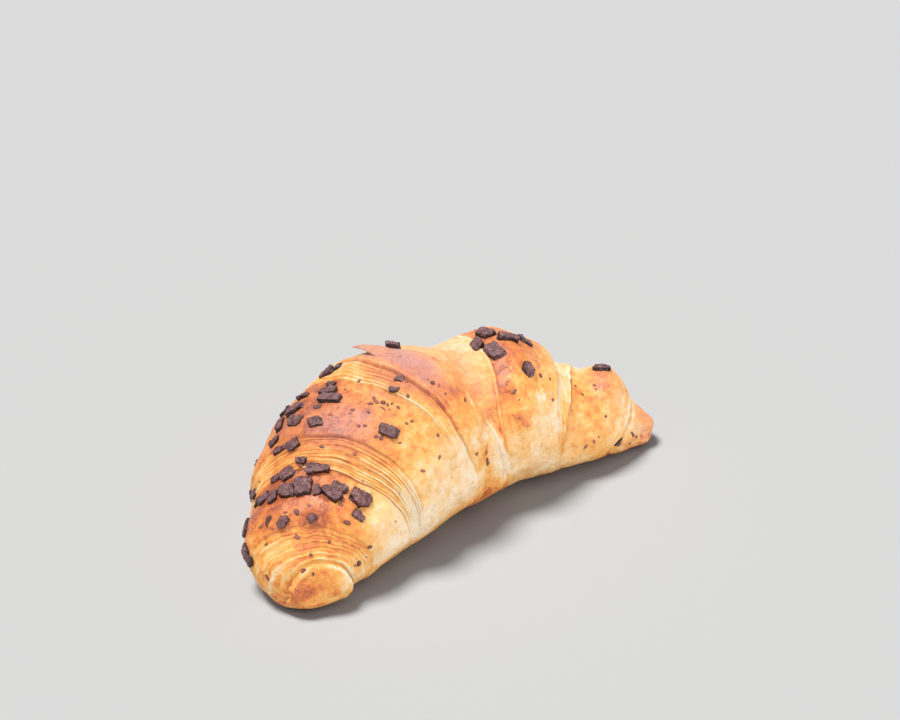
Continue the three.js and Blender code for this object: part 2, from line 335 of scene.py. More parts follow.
def layers(share, count, degrees, seed):
    """Height, paleness with a painted highlight, and painted shade of the fine layers in a cut face, each 0
    to about 1.
    """
    places = ring_places(degrees, 4, share * 3 + seed)
    f = np.clip(share, 0, 1) * count + wander(LAYER_WANDER, places, seed)
    number = np.floor(f)
    within = f - number
    own = ring_places(degrees, 2.6, number * 5.3 + seed)
    strength = np.clip(0.5 + 0.9 * lumps(own, 1.0, seed + 2), 0, 1.2)
    height = smooth(within, 0, 0.16) * (1 - within) * strength
    # The dark line just below each layer's edge is painted shade; the pale line on the edge is paler dough
    # with a painted highlight.
    return height, bell(within, 0.22, 0.16) * strength, bell(within, 0.93, 0.12) * strength


def sheet_edges(band, share, degrees, edges):
    """Height, paleness with a painted highlight, and painted shade below the edges of the sheets that stand
    out from the cut faces.
    """
    cut_heights = {number: heights for number, _, heights in CUT_FACES}
    height, pale_and_highlight, painted_shade = np.zeros((3, *share.shape))
    rows = [(number, *row) for number, sheets in SHEETS.items() for row in sheets]
    for i, (number, place, lift, paleness_and_highlight, shade_strength) in enumerate(rows):
        ring = ring_places(degrees, 4, 9 * i)
        across = (edges[number + 1] - edges[number])[None] * ROLL_LENGTH / 2
        x = (share - place - wander(SHEET_WANDER, ring, i)) * across
        shown = np.minimum(round_roll(cut_heights[number], degrees) / 0.12, 1) * smooth(across, 1.5, 4)
        uneven = np.clip(0.75 + 0.9 * lumps(ring, 1.5, SHEET_FADE_SEED + i), 0.05, 1.3)
        fade = uneven * (band == number) * shown
        height += fade * lift * smooth(x, -0.15, 0.2) * np.exp(-np.maximum(x, 0) / 1.6)
        # A painted highlight on the sheet's edge, which is paler dough, and painted shade on the dough below
        # it.
        pale_and_highlight += fade * paleness_and_highlight * bell(x, 0.28, 0.26)
        painted_shade += fade * shade_strength * bell(x, -0.2, 0.24)
    return height, pale_and_highlight, painted_shade


# Swells and dents: [along, angle, reach along, reach round, height], all but the first two in millimetres.
SWELLS = (
    (-0.14, 58, 7, 10, -1.2),
    (-0.24, 50, 8, 12, -1.2),
    (-0.32, 48, 7, 9, 1.1),
    (-0.5, 36, 9, 9, -1.7),
    (-0.04, 60, 9, 12, -1.6),
    (-0.7, 12, 14, 16, -1.2),
    (-0.87, 12, 8, 9, 1.0),
    (0.03, 78, 5, 10, -0.7),
    (0.12, 75, 7, 14, 1.6),
    (0.4, 72, 10, 12, -0.9),
    (0.47, 76, 7, 9, -0.6),
    (0.56, 80, 5, 10, 0.9),
    (0.65, 76, 5, 13, -3.3),
    (0.79, 74, 6, 9, 1.1),
    (0.87, 84, 5, 9, 0.9),
    (0.965, 84, 5, 9, -1.1),
    (1.0, 165, 6, 9, -1.6),
)

# How far the tips' undersides stand off the floor: near tip, far tip.
TIP_LIFTS = (1.5, 1.2)


def patches(rows, points):
    """Soft patches on the crust, their strengths added up."""
    total = 0
    for s, angle, reach_along, reach_round, strength in rows:
        centre = plain_roll(np.array([s]), np.array([angle]))[0]
        ahead = plain_roll(np.array([s + 0.01]), np.array([angle]))[0] - centre
        ahead /= np.linalg.norm(ahead)
        offset = points - centre
        x = offset @ ahead
        rest = np.linalg.norm(offset - x[..., None] * ahead, axis=-1)
        total = total + strength * np.exp(-((x / reach_along) ** 2) - (rest / reach_round) ** 2)
    return total


def relief_of(along, degrees, band, share, edges, points):
    """How far the crust stands out from the plain form."""
    relief = lumpiness(CRUST_LUMPS, points)
    relief += lumpiness(HOLLOW_LUMPS, points) * smooth(degrees, 140, 175)
    relief += patches(SWELLS, points)
    for edge, side, reach, heights in STEPS:
        x = distance_from(edges[edge], along, side)
        above = smooth(x, -0.2, 0.45) * np.exp(-np.maximum(x, 0) / reach)
        below = -0.25 * np.exp(-np.maximum(-x, 0) / 1.6) * (x < 0)
        relief += round_roll(heights, degrees) * (above + below)
    for edge, width, depths in GROOVES:
        relief -= round_roll(depths, degrees) * bell(distance_from(edges[edge], along, 1), 0, width)
    for number, count, heights in CUT_FACES:
        height = layers(share, count, degrees, number)[0] * LAYER_RELIEF
        fade = smooth(share, 0, 0.04) * smooth(1 - share, 0, 0.04)
        relief += np.where(band == number, round_roll(heights, degrees) * fade * height, 0)
    ends = smooth(degrees, -10, 30) * smooth(200 - degrees, 0, 30)
    return relief + sheet_edges(band, share, degrees, edges)[0] * ends


def shape_crust(plain, normal, relief, along, degrees, band, share):
    """The crust's points: the plain form with its relief, the nub pushed inwards and the tips lifted."""
    lifted = smooth(plain[..., 2], 0, 4)
    points = plain + normal * (relief * lifted)[..., None]
    heading = heading_at(NEAR_END)
    inwards = np.array([math.sin(heading), -math.cos(heading), 0])
    nub = np.where(band == NUB, smooth(1 - share, -0.05, 0.35), 0) * smooth(degrees, 60, 160)
    points = points + NUB_PUSH * nub[..., None] * inwards
    near, far = TIP_LIFTS
    lift = near * smooth(-along, 0.87, 0.98) + far * smooth(along, 0.86, 1.0)
    points[..., 2] += lift * smooth(points[..., 2], 14, 3)
    points[..., 2] = np.maximum(points[..., 2], 0)
    return points


# ---- colour of the crust

# How baked the crust is, from 0, pale cream, to 100, dark brown: a line for each band, with rows at three
# places across it, which give the knots' angles but the last, underneath.
TONE_PLACES = (0.1, 0.5, 0.9)
UNDERSIDE_TONE = 60
TONES = (
    (45, 50, 70, 72, 55, 23, 28), (32, 42, 56, 66, 55, 33, 38), (20, 4, 52, 62, 38, -5, 28),  # nub
    (38, 34, 38, 42, 32, 18, 8), (32, 44, 70, 70, 48, 52, -10), (34, 48, 62, 72, 52, 46, -10),  # fine rings
    (36, 76, 78, 92, 38, 20, -20), (95, 92, 100, 83, 12, 6, 0), (85, 97, 90, 43, 20, 2, -5),  # second wrap
    # the second cut face
    (60, 76, 72, 64, 54, 20, 2), (35, 55, 58, 62, 32, -10, -12), (28, 56, 100, 70, 6, -25, -30),
    (50, 75, 85, 75, 40, 4, -2), (60, 85, 88, 60, 32, 2, 4), (70, 100, 64, 62, 24, 14, 10),  # third wrap
    (60, 46, 42, 36, 22, 8, 14), (50, 10, 82, 78, 16, -6, 20), (50, 10, 70, 90, -10, 4, 20),  # third cut face
    (60, 30, 72, 76, 42, 18, 26), (60, 48, 82, 76, 36, 42, 28), (60, 52, 48, 50, 42, -14, 18),  # flap
    (50, 15, 16, 58, 56, -30, 18), (50, 35, 36, 46, 66, 30, 30), (50, 10, 16, 43, 68, 74, 30),  # pale sheet
    (70, 60, 84, 88, 58, 20, 6), (70, 62, 70, 86, 28, 12, 10), (60, 60, 40, 44, 10, 22, 10),  # far crown
    # the far valley's cut face
    (40, 35, 20, 18, 22, 22, 10), (30, 15, 18, 26, 24, 20, 8), (30, 25, 15, 40, 30, 86, 50),
    (60, 0, 36, 62, 52, 34, 20), (70, 40, 70, 70, 66, 34, 24), (70, 40, 34, 8, 22, 16, 60),  # far wrap
    (50, 30, 24, 28, 26, 22, 42), (60, 50, 42, 34, -10, 14, 30), (70, 65, 62, 60, 60, 50, 50),  # far tip
)

# Thin lines beside each edge, paler or browner dough; the darker lines under edges and in creases are partly
# painted shade, and the pale rims partly painted highlights: [side, distance from the edge, width, from
# angle, to angle, change of tone].
HEM_LINES_AND_SHADE = {
    RIM: (
        (-1, 0.8, 0.45, 55, 185, -0.4), (-1, 2.2, 0.5, 80, 140, 0.2), (1, 1.3, 0.5, 40, 180, -0.25),
        (1, 2.4, 0.4, 15, 115, 0.26), (1, 3.4, 0.5, 15, 125, -0.2), (1, 4.7, 0.4, 15, 110, 0.24),
    ),
    FLAP_NEAR: (
        (1, 0.2, 0.5, 50, 150, 0.14), (1, 1.1, 0.5, 60, 150, -0.12), (-1, 1.0, 0.35, 60, 145, -0.2),
        (-1, 1.8, 0.5, 60, 140, 0.14),
    ),
    FLAP_FAR: (
        (-1, 0.6, 0.4, 90, 178, -0.2), (1, 0.9, 0.9, 149, 196, -0.55), (-1, 0.5, 0.4, 152, 192, 0.3),
        (1, 2.4, 1.2, 164, 190, -0.5), (1, 3.9, 0.4, 150, 180, 0.3), (1, 3.4, 0.7, 78, 106, 0.5),
        (1, 0.9, 0.8, 70, 140, 0.14),
    ),
    PALE_EDGE: (
        (-1, 0.7, 0.5, 30, 165, -0.14), (-1, 1.7, 0.45, 30, 160, 0.26),
    ),
    CROWN_EDGE: ((1, 0.5, 0.5, 60, 190, -0.16),),
    VALLEY_EDGE: (
        (-1, 0.8, 0.5, 60, 190, -0.2), (1, 0.5, 0.6, 60, 150, 0.2),
    ),
    TIP_EDGE: (
        (-1, 1.0, 0.8, 70, 190, -0.22), (-1, 2.8, 0.5, 80, 190, 0.12), (-1, 4.2, 0.7, 90, 190, -0.2),
        (1, 1.4, 0.7, 80, 170, -0.2),
    ),
}

# Patches with a torn edge, where the top skin has flaked:
# [along, angle, reach along, reach round, change of tone], with reaches in millimetres.
FLAKES = (
    (0.268, 139, 2.6, 3.6, 0.1),
    (0.31, 152, 4.2, 2.2, 0.2),
    (0.325, 158, 3.0, 1.6, 0.2),
    (0.36, 128, 5.0, 4.0, -0.14),
    (0.44, 140, 4.0, 3.4, -0.2),
    (0.7, 150, 5.0, 4.5, -0.2),
    (0.83, 121, 4.4, 4.0, -0.08),
    (0.79, 137, 3.0, 3.0, -0.16),
    (-0.42, 110, 5.0, 3.0, -0.12),
    (-0.36, 132, 6.0, 3.0, -0.14),
    (-0.73, 112, 3.0, 2.4, -0.25),
    (-0.7, 86, 2.4, 3.0, 0.1),
    (-0.78, 105, 3.6, 2.0, 0.12),
    (0.1, 148, 2.0, 4.0, 0.14),
    (0.05, 134, 2.0, 3.0, -0.2),
    (0.79, 112, 4.0, 3.0, 0.1),
    (0.02, 158, 9.0, 4.6, -0.16),
    (0.06, 169, 1.8, 2.4, 0.4),
)

# Soft patches that are more or less baked, laid out in the same way.
TONE_PATCHES = (
    (-0.985, 100, 3.8, 5.0, 0.6),
    (-0.6, 210, 30, 4, 0.25),
    (-0.2, 212, 40, 4, 0.2),
    (0.1, 205, 14, 5, 0.35),
    (0.3, 157, 3.5, 3, 0.3),
    (0.71, 148, 1.5, 5, 0.15),
    (-0.51, 88, 3, 8, 0.25),
    (-0.82, 119, 4, 5, -0.15),
    (0.57, 167, 1.5, 6, 0.25),
    (0.78, 140, 3, 6, 0.15),
    (0.97, 150, 4, 8, 0.25),
)
# Rosy patches on the crowns: the last number is their strength.
BLUSHES = (
    (-0.1, 80, 10, 18, 1.0),
    (-0.08, 105, 8, 12, 0.8),
    (-0.48, 75, 9, 22, 0.38),
    (-0.42, 105, 9, 10, 0.3),
    (0.15, 95, 9, 20, 0.35),
    (0.15, 120, 6, 12, 0.3),
    (0.36, 92, 8, 10, 0.12),
    (0.5, 96, 6, 12, 0.22),
    (0.62, 90, 6, 14, 0.25),
    (0.84, 95, 9, 12, 0.35),
    (1.01, 120, 6, 12, 0.5),
)

# Where egg wash has pooled and shines, with its strength.
GLOSSES = (
    (0.325, 119, 2.4, 2.4, 1.0),
    (1.0, 140, 3, 4, 1.0),
    (0.8, 120, 5, 5, 0.6),
    (-0.66, 118, 3, 3, 0.7),
    (0.295, 126, 2, 3, 0.7),
    (0.96, 150, 3, 3, 1.0),
    (-0.75, 101, 2, 4, 0.9),
    (-0.744, 130, 2, 3, 0.8),
    (0.5, 112, 4, 5, 0.6),
)

MOTTLES = ((0.1, 8, 11), (0.13, 3.6, 12), (0.09, 1.7, 13))  # [change of tone, size, seed]
CUT_FACE_FULL = 0.3  # strength of the fine layers at which a cut face counts as fully cut
CUT_TONE_LIMIT = 0.78  # tone that cut faces hardly go beyond
HEM_EASING = (-6, 8)  # degrees before and after a hem's end over which it fades


def band_tone(band, share, degrees):
    """The tones of the table, eased round the roll and across each band."""
    rows = [round_roll(np.array((*row, UNDERSIDE_TONE)) / 100, degrees) for row in TONES]
    rows = np.reshape(rows, (-1, len(TONE_PLACES), *degrees.shape))
    total = 0
    for number, values in enumerate(rows):
        for weight, value in zip(np.eye(len(TONE_PLACES)), values):
            total = total + np.where(band == number, np.interp(share, TONE_PLACES, weight) * value, 0)
    return total


def layer_tone(band, share, degrees, edges):
    """How the cut layers and the sheets change the tone: paler edges with painted highlights, and painted
    shade below them.
    """
    change = 0
    for number, count, heights in CUT_FACES:
        _, pale_and_highlight, painted_shade = layers(share, count, degrees, number)
        amount = round_roll(heights, degrees) / CUT_FACE_FULL
        change += np.where(band == number, amount * (0.16 * painted_shade - 0.14 * pale_and_highlight), 0)
    _, pale_and_highlight, painted_shade = sheet_edges(band, share, degrees, edges)
    # Painted shade darkens the dough below the edges; the pale edges carry painted highlights.
    return change + 0.8 * painted_shade - pale_and_highlight


def paint(along, degrees, band, share, edges, points, chunk_centres):
    """The crust's colouring at each point: tone, blush, stain, gloss, cut faces and flakes. The tone holds
    painted shade below the sheet edges and in creases, and painted highlights on some edges.
    """
    tone = band_tone(band, share, degrees)
    tone = tone + patches(TONE_PATCHES, points)
    tone += lumpiness(MOTTLES, points) * (0.5 + 0.5 * smooth(tone, 0.1, 0.5))
    tone += layer_tone(band, share, degrees, edges)
    # Painted shade: a darker line just below each sheet edge.
    for edge, side, _, heights in STEPS:
        amount = np.minimum(round_roll(heights, degrees), 1.2)
        tone += 0.09 * amount * bell(distance_from(edges[edge], along, side), -0.3, 0.4)
    foot = smooth(points[..., 2], 11, 1.5) * smooth(degrees, -60, -20)
    tone += foot * (0.12 + 0.35 * lumps(drawn_places(along, degrees, 7), 1.6, 17))
    before, after = HEM_EASING
    hem_lines = [(edge, *row) for edge, rows in HEM_LINES_AND_SHADE.items() for row in rows]
    # Partly painted light: darker lines under edges and in creases are painted shade, pale rim lines painted
    # highlights.
    for edge, side, offset, width, start, end, change in hem_lines:
        shown = smooth(degrees, start + before, start + after) * smooth(degrees, end - before, end - after)
        uneven = np.clip(0.85 + 0.6 * lumps(points, 4, edge + 20 * offset), 0.1, 1.3)
        tone += change * uneven * shown * bell(distance_from(edges[edge], along, side), offset, width)
    fields = np.array([patches([(*row[:4], 1)], points) for row in FLAKES])
    nearest = np.min([np.linalg.norm(points - c, axis=-1) for c in chunk_centres], 0)
    near_chunk = smooth(nearest, 7.0, 2.5) * smooth(tone, 0.25, 0.6)
    cut = np.zeros(along.shape)
    for number, _, heights in CUT_FACES:
        cut += (band == number) * np.minimum(round_roll(heights, degrees) / CUT_FACE_FULL, 1)
    over = tone - CUT_TONE_LIMIT
    tone = np.where(cut > 0, np.minimum(tone, CUT_TONE_LIMIT + 0.3 * over * (over > 0)), tone)
    return {
        "tone": tone,
        "blush": patches(BLUSHES, points) * (0.8 + 0.3 * lumps(points, 3, 21)),
        "stain": near_chunk * (0.55 + 0.5 * lumps(points, 2.4, 31)),
        "gloss": patches(GLOSSES, points) * (0.7 + 0.6 * lumps(points, 1.6, 51)),
        "cut": cut,
        "flake": fields.max(0) + 0.28 * lumps(points, 2.2, 71),
        "flake_tone": np.array([row[4] for row in FLAKES])[fields.argmax(0)],
    }


# ---- meshes


def new_object(name, data):
    thing = bpy.data.objects.new(name, data)
    bpy.context.scene.collection.objects.link(thing)
    return thing


def mesh_object(name, vertices, faces, material):
    mesh = bpy.data.meshes.new(name)
    mesh.from_pydata([tuple(v) for v in np.asarray(vertices) * MM], [], faces)
    mesh.update()
    mesh.validate()
    mesh.polygons.foreach_set("use_smooth", [True] * len(mesh.polygons))
    mesh.materials.append(material)
    return new_object(name, mesh)


def add_attribute(piece, name, values):
    """Gives each point of a piece a number, or a place from rows of x, y and z."""
    values = np.asarray(values, np.float32)
    kind, field = ("FLOAT", "value") if values.ndim == 1 else ("FLOAT_VECTOR", "vector")
    piece.data.attributes.new(name, kind, "POINT").data.foreach_set(field, values.ravel())


def ring_faces(rings, sides):
    """Four-cornered faces between rings of points."""
    faces = []
    for i in range(0, (rings - 1) * sides, sides):
        for j in range(sides):
            k = (j + 1) % sides
            faces.append((i + j, i + k, i + sides + k, i + sides + j))
    return faces


def row_shift():
    """From the roll's own frame to the row frame: where the CAD croissant lies, less where the roll lies."""
    along = np.linspace(NEAR_END, FAR_END, 801)[:, None]
    degrees = np.arange(-90, 270, 2.0)[None]
    points = plain_roll(along + 0 * degrees, degrees + 0 * along).reshape(-1, 3)
    low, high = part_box("croissant")
    shift = (np.array(low) + np.array(high)) / 2 / MM - (points.min(0) + points.max(0)) / 2
    shift[2] = 0
    return shift


SHIFT = row_shift()


def crust_piece(material, chunk_centres):
    """The crust, and the grid that it is made from."""
    along, degrees, band, share, edges = crust_grid()
    plain = plain_roll(along, degrees)
    normal = grid_normals(plain)
    relief = relief_of(along, degrees, band, share, edges, plain)
    points = shape_crust(plain, normal, relief, along, degrees, band, share)
    painted = paint(along, degrees, band, share, edges, plain, chunk_centres)
    tips = np.array([points[0].mean(0), points[-1].mean(0)])
    rings, sides = along.shape
    faces = ring_faces(rings, sides)
    last = rings * sides
    for j in range(sides):
        k = (j + 1) % sides
        faces.append((last, k, j))
        faces.append((last + 1, (rings - 1) * sides + j, (rings - 1) * sides + k))
    vertices = np.concatenate([points.reshape(-1, 3), tips]) + SHIFT
    piece = mesh_object("crust", vertices, faces, material)
    for name, values in painted.items():
        add_attribute(piece, name, np.concatenate([values.ravel(), [values[0].mean(), values[-1].mean()]]))
    across = share * np.take_along_axis((edges[1:] - edges[:-1]) * ROLL_LENGTH / 2, band, 0)
    angle = np.radians(degrees)
    sheet = np.stack([across, 5 * band + 6 * np.cos(angle), 6 * np.sin(angle)], -1)
    for name, places in (("flow", drawn_places(along, degrees, 22)), ("sheet", sheet)):
        places = places.reshape(-1, 3)
        add_attribute(piece, name, np.concatenate([places, places[:1], places[-1:]]))
    grid = {"along": along, "degrees": degrees, "plain": plain, "points": points, "normal": normal}
    return piece, grid


# ---- materials


def srgb(red, green, blue):
    linear = [c / 255 / 12.92 if c <= 10 else ((c / 255 + 0.055) / 1.055) ** 2.4 for c in (red, green, blue)]
    return (*linear, 1)


class Value:
    """A node's output. Sums, differences and products of these add the nodes that work them out."""

    def __init__(self, tree, socket):
        self.tree = tree
        self.socket = socket

    def joined(self, operation, a, b):
        return add_node(self.tree, "ShaderNodeMath", {0: a, 1: b}, operation=operation)

    def __add__(self, other):
        return self.joined("ADD", self, other)

    def __sub__(self, other):
        return self.joined("SUBTRACT", self, other)

    def __rsub__(self, other):
        return self.joined("SUBTRACT", other, self)

    def __mul__(self, other):
        return self.joined("MULTIPLY", self, other)

    def mapped(self, low, high, to_low=0.0, to_high=1.0):
        """The value carried from one range to another and held at its ends."""
        return add_node(self.tree, "ShaderNodeMapRange", {0: self, 1: low, 2: high, 3: to_low, 4: to_high})

    def swing(self, depth):
        """A noise's usual range, carried to one from minus to plus the depth."""
        return self.mapped(*NOISE_RANGE, -depth, depth)


def set_inputs(tree, node, inputs):
    """Links each of a node's inputs to a Value, or sets it to a constant."""
    for name, value in inputs.items():
        if isinstance(value, Value):
            tree.links.new(value.socket, node.inputs[name])
        else:
            node.inputs[name].default_value = value


def add_node(tree, kind, inputs, output=0, **settings):
    """Adds a node and gives back one of its outputs."""
    node = tree.nodes.new(kind)
    for key, value in settings.items():
        setattr(node, key, value)
    set_inputs(tree, node, inputs)
    return Value(tree, node.outputs[output])


def node_material(name):
    material = bpy.data.materials.new(name)
    material.use_nodes = True
    return material, material.node_tree, material.node_tree.nodes["Principled BSDF"]


def mix_colour(factor, a, b):
    return add_node(factor.tree, "ShaderNodeMix", {0: factor, 6: a, 7: b}, 2, data_type="RGBA")


def noise_of(vector, scale, detail, roughness, distortion=0.0):
    inputs = {"Vector": vector, "Scale": scale, "Detail": detail, "Roughness": roughness}
    return add_node(vector.tree, "ShaderNodeTexNoise", {**inputs, "Distortion": distortion}, "Fac")


def attribute(tree, name, output="Fac"):
    return add_node(tree, "ShaderNodeAttribute", {}, output, attribute_name=name)


def scaled(vector, scale):
    return add_node(vector.tree, "ShaderNodeMapping", {"Vector": vector, "Scale": scale})


def bumped(height, strength, distance):
    inputs = {"Strength": strength, "Distance": distance, "Height": height}
    return add_node(height.tree, "ShaderNodeBump", inputs)


def ramp(factor, stops):
    node = factor.tree.nodes.new("ShaderNodeValToRGB")
    elements = node.color_ramp.elements
    while len(elements) < len(stops):
        elements.new(0.5)
    for element, (place, *colour) in zip(elements, stops):
        element.position = place
        element.color = srgb(*colour)
    set_inputs(factor.tree, node, {0: factor})
    return Value(factor.tree, node.outputs[0])


NOISE_RANGE = (0.3, 0.7)  # where most of a noise's values lie

# The crust's colour by its tone, and the chocolate's by its painted top light: [place, red, green, blue].
CRUST_STOPS = (
    (0.0, 249, 226, 194),
    (0.07, 248, 217, 175),
    (0.17, 247, 204, 148),
    (0.32, 245, 187, 110),
    (0.48, 244, 170, 82),
    (0.63, 237, 149, 70),
    (0.78, 221, 126, 64),
    (0.92, 199, 107, 62),
    (1.0, 170, 87, 54),
)
CHOCOLATE_STOPS = ((0.3, 41, 17, 18), (0.42, 66, 34, 35), (0.54, 99, 61, 63), (0.66, 148, 106, 103))
BLUSH = (srgb(200, 144, 136), 0.85)  # colour and strength
STAIN = (srgb(194, 104, 58), 0.5)
BOUNCE = ((0.3, 0.3, 0.32, 1), 0.6)  # keeps the light that the crust throws on the floor neutral
FRECKLE_COLOUR = srgb(196, 112, 62)
MELTED_COLOUR = srgb(176, 106, 84)

# Noises in the crust: [scale, detail, roughness, distortion].
LAYER_LINES = (1.0, 3.0, 0.7, 0.7)
STREAKS = (1.0, 3.0, 0.6)
BLOTCHES = (230, 3.0, 0.55, 0.6)
SKIN = (300, 5.0, 0.62, 1.0)
MOTTLE = (560, 4.0, 0.62, 0.4)
FRECKLES = (640, 1.5, 0.5)
TEARS = (900, 3.0, 0.6)
GRAIN = (1900, 3.0, 0.6)


def crust_material():
    material, tree, bsdf = node_material("crust")
    place = add_node(tree, "ShaderNodeTexCoord", {}, "Object")
    noises = (noise_of(place, *row) for row in (BLOTCHES, SKIN, MOTTLE, FRECKLES, TEARS, GRAIN))
    blotches, skin, mottle, freckles, tears, grain = noises
    lines = noise_of(scaled(attribute(tree, "sheet", "Vector"), (1.7, 0.13, 0.13)), *LAYER_LINES)
    streaks = noise_of(scaled(attribute(tree, "flow", "Vector"), (1.2, 0.16, 0.16)), *STREAKS)
    cut, gloss = attribute(tree, "cut"), attribute(tree, "gloss")
    tone = attribute(tree, "tone") + cut * lines.swing(0.2) + streaks.swing(0.04)

    # Mottling, with a hem round the patches where the skin has peeled. There is less of it in the creams.
    uncut = 1.0 - cut
    peeled = skin.mapped(0.55, 0.57) * uncut
    hem = (skin.mapped(0.53, 0.55) - peeled) * uncut
    mottling = blotches.swing(0.1) + peeled * 0.11 - hem * 0.12 + mottle.swing(0.14) + grain.swing(0.08)
    tone = tone + mottling * tone.mapped(0.05, 0.5, 0.5, 1.0)

    # Flakes, with a torn edge and a pale rim.
    field = attribute(tree, "flake") + tears.swing(0.16)
    flake = field.mapped(0.46, 0.5) * attribute(tree, "flake_tone")
    rim = field.mapped(0.36, 0.4) - field.mapped(0.42, 0.46)
    tone = tone + flake - rim * 0.08

    colour = ramp(tone, CRUST_STOPS)
    for name, (tint, strength) in (("blush", BLUSH), ("stain", STAIN)):
        colour = mix_colour(attribute(tree, name) * strength, colour, tint)
    colour = mix_colour(freckles.mapped(0.68, 0.74, 0.0, 0.5), colour, FRECKLE_COLOUR)
    tint, strength = BOUNCE
    bounced = add_node(tree, "ShaderNodeLightPath", {}, "Is Diffuse Ray")
    colour = mix_colour(bounced * strength, colour, tint)

    height = lines * cut * 0.9 + blotches * 0.8 + mottle * 0.8 - peeled * 0.3 + flake * 1.6 + grain * 0.4
    normal = bumped(height, 0.6, 0.0007)
    inputs = {
        "Base Color": colour,
        "Roughness": tone.mapped(0.2, 0.9, 0.56, 0.36) + mottle.swing(-0.1) + cut * 0.16 - gloss * 0.3,
        "Normal": normal,
        "Coat Weight": gloss,
        "Coat Roughness": 0.09,
        "Coat Normal": normal,
        "Subsurface Weight": 0.12,
        "Subsurface Radius": (1.0, 0.45, 0.2),
        "Subsurface Scale": 0.002,
    }
    set_inputs(tree, bsdf, inputs)
    return material


def chocolate_material():
    material, tree, bsdf = node_material("chocolate")
    place = add_node(tree, "ShaderNodeTexCoord", {}, "Object")
    coarse = noise_of(place, 520, 4.0, 0.7)
    mixed = coarse * 0.6 + noise_of(place, 2400, 3.0, 0.6) * 0.4
    # Painted light: the chunks' upturned tops are lighter, their sides and pits darker.
    colour = ramp(mixed + attribute(tree, "painted_top_light").mapped(0.0, 1.0, -0.2, 0.06), CHOCOLATE_STOPS)
    colour = mix_colour(attribute(tree, "melted"), colour, MELTED_COLOUR)
    rough = coarse.mapped(*NOISE_RANGE, 0.38, 0.6)
    inputs = {"Base Color": colour, "Roughness": rough, "Normal": bumped(mixed, 0.8, 0.0005)}
    set_inputs(tree, bsdf, inputs)
    return material


# ---- chocolate chunks

CHUNK_BURY = 1.8  # how far a block's foot goes down into the crust
CHUNK_SETTLE = (0.9, 0.4)  # how far a block sinks, on the roll's side and on top
CHUNK_LIFTS = {"chocolate_chunk_39": 1.4}  # blocks that stand higher
CHUNK_GROWTH = 1.1  # size of a block beside its CAD node
CHUNK_VOXEL = 0.3  # size of the faces that it is cut with
PITS = ((0.34, 2.6, 0), (0.3, 1.2, 7), (0.16, 0.6, 11))  # [depth, size, seed to add]
CHIP_PLANES = 9  # planes that break its corners off
CHIP_REACHES = (0.74, 0.93)  # how far out they lie, as shares of the block


def cad_points(node):
    return np.array([v.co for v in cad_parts[node].data.vertices]) / MM


def bed(grid, centre):
    """The crust's outward direction beside a point, and how far its relief moves its surface there."""
    apart = np.linalg.norm(grid["plain"] + SHIFT - centre, axis=-1)
    near = apart < apart.min() + 1.0
    up = grid["normal"][near].mean(0)
    return up / np.linalg.norm(up), (grid["points"] - grid["plain"])[near].mean(0)


def hull_of(points):
    work = bmesh.new()
    for p in points:
        work.verts.new(p)
    hull = bmesh.ops.convex_hull(work, input=work.verts)
    loose = [v for v in hull["geom_interior"] + hull["geom_unused"] if isinstance(v, bmesh.types.BMVert)]
    bmesh.ops.delete(work, geom=list(set(loose)), context="VERTS")
    bmesh.ops.recalc_face_normals(work, faces=work.faces)
    mesh = bpy.data.meshes.new("hull")
    work.to_mesh(mesh)
    work.free()
    return mesh


def remeshed(mesh, voxel):
    """Vertices, normals and faces of a mesh cut again into small even faces."""
    block = new_object("block", mesh)
    remesh = block.modifiers.new("remesh", "REMESH")
    remesh.mode = "VOXEL"
    remesh.voxel_size = voxel
    shown = block.evaluated_get(bpy.context.evaluated_depsgraph_get()).to_mesh()
    vertices = np.array([v.co for v in shown.vertices])
    normals = np.array([v.normal for v in shown.vertices])
    faces = [tuple(p.vertices) for p in shown.polygons]
    bpy.data.objects.remove(block)
    return vertices, normals, faces


def chipped(vertices, centre, up, random):
    """Flattens the block's corners along a few planes, as where chocolate breaks."""
    for direction in random.normal(size=(CHIP_PLANES, 3)):
        direction /= np.linalg.norm(direction)
        if direction @ up < -0.3:
            continue
        reach = (vertices - centre) @ direction
        excess = np.maximum(reach - reach.max() * random.uniform(*CHIP_REACHES), 0)
        vertices = vertices - excess[:, None] * direction
    return vertices


def chunk_piece(node, number, material, grid):
    """A broken, pitted block round a CAD chunk, its foot bedded in the crust."""
    random = np.random.default_rng(number)
    points = cad_points(node)
    centre = points.mean(0)
    up, moved = bed(grid, centre)
    block = centre + (points - centre) * CHUNK_GROWTH
    foot = block[(block - centre) @ up < 0] - up * CHUNK_BURY
    settle = up * (np.interp(up[2], (0, 1), CHUNK_SETTLE) - CHUNK_LIFTS.get(node, 0))
    mesh = hull_of(np.concatenate([block, foot]) + moved - settle)
    centre = centre + moved - settle
    vertices, normals, faces = remeshed(mesh, CHUNK_VOXEL)
    vertices = chipped(vertices, centre, up, random)
    pits = wander(PITS, vertices, number) - 0.06
    vertices = vertices + normals * pits[:, None]
    piece = mesh_object(f"chunk_{node[-2:]}", vertices, faces, material)
    turned = np.array([v.normal for v in piece.data.vertices]) @ up
    # Painted light: faces turned up are lighter, the sides and pits darker.
    add_attribute(piece, "painted_top_light", smooth(turned + 0.6 * pits, 0.05, 0.85))
    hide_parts(node)
    return piece


# ---- crumbs of chocolate

